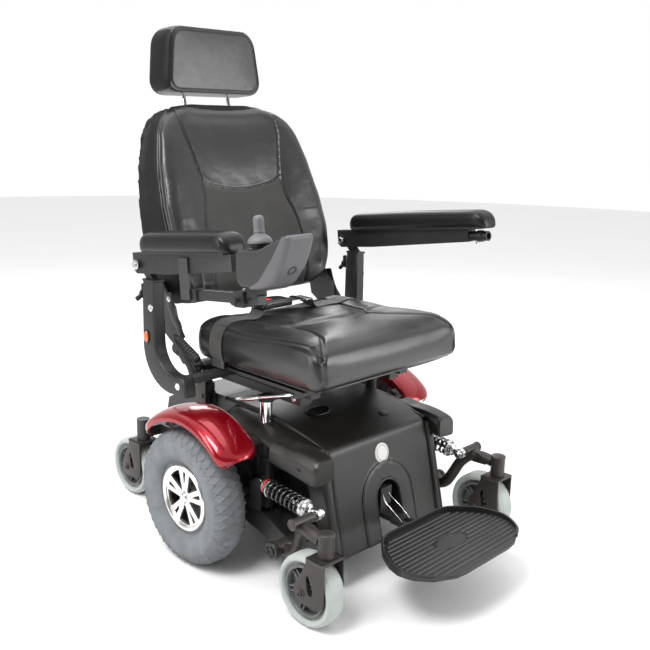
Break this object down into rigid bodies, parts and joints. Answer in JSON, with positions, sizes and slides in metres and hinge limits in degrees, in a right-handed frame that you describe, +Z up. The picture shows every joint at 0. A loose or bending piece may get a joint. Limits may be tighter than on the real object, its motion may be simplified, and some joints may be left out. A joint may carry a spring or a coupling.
{
  "type": "power wheelchair",
  "caption": "Power wheelchair: mid-wheel drive base with casters and footplate, captain seat with headrest, flip-up arms and a joystick.",
  "frame": {"origin": "on the floor, under the middle of the chair's box", "axes": "+Z up, the chair's front faces -Y, the occupant's left is +X"},
  "size_m": [0.738, 1.088, 1.2326],
  "materials": {
    "vinyl": "black vinyl, soft sheen",
    "arm_foam": "black skinned foam",
    "shell": "satin black moulded shell",
    "fender": "metallic red gloss",
    "frame": "black powder coat",
    "bracket": "brownish grey satin paint",
    "battery": "satin",
    "electronics": "satin cast",
    "motor": "satin",
    "drive_tyre": "grey rubber",
    "rim": "polished",
    "caster_tyre": "pale grey rubber",
    "caster_hub": "grey moulded",
    "bright": "bright plated",
    "spring": "black gloss coated wire",
    "chrome": "polished",
    "footplate": "ribbed black",
    "control_case": "satin dark grey",
    "knob": "grey rubber",
    "webbing": "ribbed belt webbing",
    "buckle": "black",
    "button": "red",
    "cable": "black sheath"
  },
  "bodies": {
    "chassis": {"chassis_frame": "frame", "front_shroud": "shell", "rear_cover": "shell", "batteries": "battery", "control_module": "electronics", "fenders": "fender", "drive_motors": "motor", "seat_base_frame": "frame"},
    "drive_wheel_right": {"drive_tyre_right": "drive_tyre", "drive_rim_right": "rim"},
    "drive_wheel_left": {"drive_tyre_left": "drive_tyre", "drive_rim_left": "rim"},
    "front_arm_right": {"front_arm_right": "bracket"},
    "shock_body_right": {"shock_body_right": "bright", "shock_spring_right": "spring"},
    "shock_rod_right": {"shock_rod_right": "bright"},
    "front_fork_right": {"front_fork_right": "bracket"},
    "front_wheel_right": {"front_hub_right": "caster_hub", "front_tyre_right": "caster_tyre"},
    "front_arm_left": {"front_arm_left": "bracket"},
    "shock_body_left": {"shock_body_left": "bright", "shock_spring_left": "spring"},
    "shock_rod_left": {"shock_rod_left": "bright"},
    "front_fork_left": {"front_fork_left": "bracket"},
    "front_wheel_left": {"front_hub_left": "caster_hub", "front_tyre_left": "caster_tyre"},
    "rear_fork_right": {"rear_fork_right": "bracket"},
    "rear_wheel_right": {"rear_hub_right": "caster_hub", "rear_tyre_right": "caster_tyre"},
    "rear_fork_left": {"rear_fork_left": "bracket"},
    "rear_wheel_left": {"rear_hub_left": "caster_hub", "rear_tyre_left": "caster_tyre"},
    "footrest_stem": {"footrest_stem": "frame"},
    "footplate": {"footplate": "footplate"},
    "seat": {"seat_pan": "frame", "seat_cushion": "vinyl", "armrest_receivers": "frame", "seat_belt": "webbing", "belt_buckle": "buckle", "joystick_cable": "cable"},
    "slide_lever": {"slide_lever": "chrome"},
    "back": {"back_frame": "frame", "back_cushion": "vinyl"},
    "recline_lever": {"recline_lever": "frame"},
    "headrest": {"headrest_posts": "chrome", "headrest": "vinyl"},
    "arm_post_right": {"arm_post_right": "frame"},
    "arm_right": {"arm_bar_right": "frame", "arm_pad_right": "arm_foam"},
    "star_knob_right": {"star_knob_right": "shell"},
    "arm_post_left": {"arm_post_left": "frame"},
    "arm_left": {"arm_bar_left": "frame", "arm_pad_left": "arm_foam"},
    "star_knob_left": {"star_knob_left": "shell"},
    "controller": {"controller_bracket": "frame", "controller_case": "control_case"},
    "joystick_gimbal": {"joystick_gimbal": "control_case"},
    "joystick": {"joystick": "knob"},
    "power_button": {"power_button": "bright"},
    "belt_button": {"belt_button": "button"}
  },
  "joints": [
    {"name": "drive_spin_right", "type": "hinge", "parent": "chassis", "child": "drive_wheel_right", "pos_m": [-0.3155, 0.061, 0.159], "axis": [1, 0, 0], "continuous": true},
    {"name": "drive_spin_left", "type": "hinge", "parent": "chassis", "child": "drive_wheel_left", "pos_m": [0.3155, 0.061, 0.159], "axis": [1, 0, 0], "continuous": true},
    {"name": "front_suspension_right", "type": "hinge", "parent": "chassis", "child": "front_arm_right", "pos_m": [-0.268, -0.191, 0.108], "axis": [1, 0, 0], "range_deg": [-10, 0], "stiffness_Nm_per_rad": 500, "springref_deg": 5.73},
    {"name": "shock_swing_right", "type": "hinge", "parent": "chassis", "child": "shock_body_right", "pos_m": [-0.251, -0.104, 0.225], "axis": [1, 0, 0], "range_deg": [-5, 0.5]},
    {"name": "shock_slide_right", "type": "slide", "parent": "shock_body_right", "child": "shock_rod_right", "axis": [0, -0.9969, -0.0788], "range_m": [-0.021, 0.001], "deforming": ["shock_spring_right"]},
    {"name": "front_swivel_right", "type": "hinge", "parent": "front_arm_right", "child": "front_fork_right", "pos_m": [-0.3, -0.359, 0.19], "axis": [0, 0, 1], "continuous": true},
    {"name": "front_spin_right", "type": "hinge", "parent": "front_fork_right", "child": "front_wheel_right", "pos_m": [-0.3, -0.319, 0.078], "axis": [1, 0, 0], "continuous": true},
    {"name": "front_suspension_left", "type": "hinge", "parent": "chassis", "child": "front_arm_left", "pos_m": [0.268, -0.191, 0.108], "axis": [1, 0, 0], "range_deg": [-10, 0], "stiffness_Nm_per_rad": 500, "springref_deg": 5.73},
    {"name": "shock_swing_left", "type": "hinge", "parent": "chassis", "child": "shock_body_left", "pos_m": [0.251, -0.104, 0.225], "axis": [1, 0, 0], "range_deg": [-5, 0.5]},
    {"name": "shock_slide_left", "type": "slide", "parent": "shock_body_left", "child": "shock_rod_left", "axis": [0, -0.9969, -0.0788], "range_m": [-0.021, 0.001], "deforming": ["shock_spring_left"]},
    {"name": "front_swivel_left", "type": "hinge", "parent": "front_arm_left", "child": "front_fork_left", "pos_m": [0.3, -0.359, 0.19], "axis": [0, 0, 1], "continuous": true},
    {"name": "front_spin_left", "type": "hinge", "parent": "front_fork_left", "child": "front_wheel_left", "pos_m": [0.3, -0.319, 0.078], "axis": [1, 0, 0], "continuous": true},
    {"name": "rear_swivel_right", "type": "hinge", "parent": "chassis", "child": "rear_fork_right", "pos_m": [-0.207, 0.426, 0.19], "axis": [0, 0, 1], "continuous": true},
    {"name": "rear_spin_right", "type": "hinge", "parent": "rear_fork_right", "child": "rear_wheel_right", "pos_m": [-0.207, 0.466, 0.078], "axis": [1, 0, 0], "continuous": true},
    {"name": "rear_swivel_left", "type": "hinge", "parent": "chassis", "child": "rear_fork_left", "pos_m": [0.207, 0.426, 0.19], "axis": [0, 0, 1], "continuous": true},
    {"name": "rear_spin_left", "type": "hinge", "parent": "rear_fork_left", "child": "rear_wheel_left", "pos_m": [0.207, 0.466, 0.078], "axis": [1, 0, 0], "continuous": true},
    {"name": "footrest_height", "type": "slide", "parent": "chassis", "child": "footrest_stem", "axis": [0, 0, 1], "range_m": [-0.02, 0.012]},
    {"name": "footplate_flip", "type": "hinge", "parent": "footrest_stem", "child": "footplate", "pos_m": [0, -0.333, 0.122], "axis": [1, 0, 0], "range_deg": [-85, 0]},
    {"name": "seat_slide", "type": "slide", "parent": "chassis", "child": "seat", "axis": [0, 1, 0], "range_m": [-0.03, 0.03], "deforming": ["joystick_cable"]},
    {"name": "slide_lever_lift", "type": "hinge", "parent": "seat", "child": "slide_lever", "pos_m": [-0.2, -0.174, 0.441], "axis": [-1, 0, 0], "range_deg": [-8, 0], "stiffness_Nm_per_rad": 2, "springref_deg": 14.32},
    {"name": "back_recline", "type": "hinge", "parent": "seat", "child": "back", "pos_m": [0, 0.179, 0.478], "axis": [1, 0, 0], "range_deg": [-25, 8]},
    {"name": "recline_lever_pull", "type": "hinge", "parent": "seat", "child": "recline_lever", "pos_m": [-0.278, 0.095, 0.432], "axis": [1, 0, 0], "range_deg": [0, 10], "stiffness_Nm_per_rad": 3, "springref_deg": -11.46},
    {"name": "headrest_height", "type": "slide", "parent": "back", "child": "headrest", "axis": [0, 0.2147, 0.9767], "range_m": [0, 0.06]},
    {"name": "arm_height_right", "type": "slide", "parent": "seat", "child": "arm_post_right", "axis": [0, 0, 1], "range_m": [0, 0.07]},
    {"name": "arm_flip_right", "type": "hinge", "parent": "arm_post_right", "child": "arm_right", "pos_m": [-0.334, 0.206, 0.683], "axis": [1, 0, 0], "range_deg": [-90, 0]},
    {"name": "arm_knob_turn_right", "type": "hinge", "parent": "seat", "child": "star_knob_right", "pos_m": [-0.334, 0.2, 0.613], "axis": [0, 1, 0], "range_deg": [0, 360]},
    {"name": "arm_height_left", "type": "slide", "parent": "seat", "child": "arm_post_left", "axis": [0, 0, 1], "range_m": [0, 0.07]},
    {"name": "arm_flip_left", "type": "hinge", "parent": "arm_post_left", "child": "arm_left", "pos_m": [0.334, 0.206, 0.683], "axis": [1, 0, 0], "range_deg": [-90, 0]},
    {"name": "arm_knob_turn_left", "type": "hinge", "parent": "seat", "child": "star_knob_left", "pos_m": [0.334, 0.2, 0.613], "axis": [0, 1, 0], "range_deg": [0, 360]},
    {"name": "controller_slide", "type": "slide", "parent": "arm_right", "child": "controller", "axis": [0, 0.9936, -0.1132], "range_m": [-0.03, 0.015]},
    {"name": "joystick_tilt_front", "type": "hinge", "parent": "controller", "child": "joystick_gimbal", "pos_m": [-0.334, -0.19655, 0.75403], "axis": [1, 0, 0], "range_deg": [-15, 15], "stiffness_Nm_per_rad": 0.2},
    {"name": "joystick_tilt_side", "type": "hinge", "parent": "joystick_gimbal", "child": "joystick", "pos_m": [-0.334, -0.19655, 0.75403], "axis": [0, 0.9936, -0.1132], "range_deg": [-15, 15], "stiffness_Nm_per_rad": 0.2},
    {"name": "power_press", "type": "slide", "parent": "controller", "child": "power_button", "axis": [0, 0.402, 0.9157], "range_m": [-0.0012, 0], "stiffness_N_per_m": 800, "springref_m": 0.0008},
    {"name": "belt_release", "type": "slide", "parent": "seat", "child": "belt_button", "axis": [0, 0, 1], "range_m": [-0.003, 0], "stiffness_N_per_m": 600, "springref_m": 0.001}
  ],
  "couplings": [
    {"joint": "shock_swing_right", "follows": "front_suspension_right", "ratio": 0.45},
    {"joint": "shock_slide_right", "follows": "front_suspension_right", "m_per_rad": 0.1134},
    {"joint": "shock_swing_left", "follows": "front_suspension_left", "ratio": 0.45},
    {"joint": "shock_slide_left", "follows": "front_suspension_left", "m_per_rad": 0.1134}
  ]
}
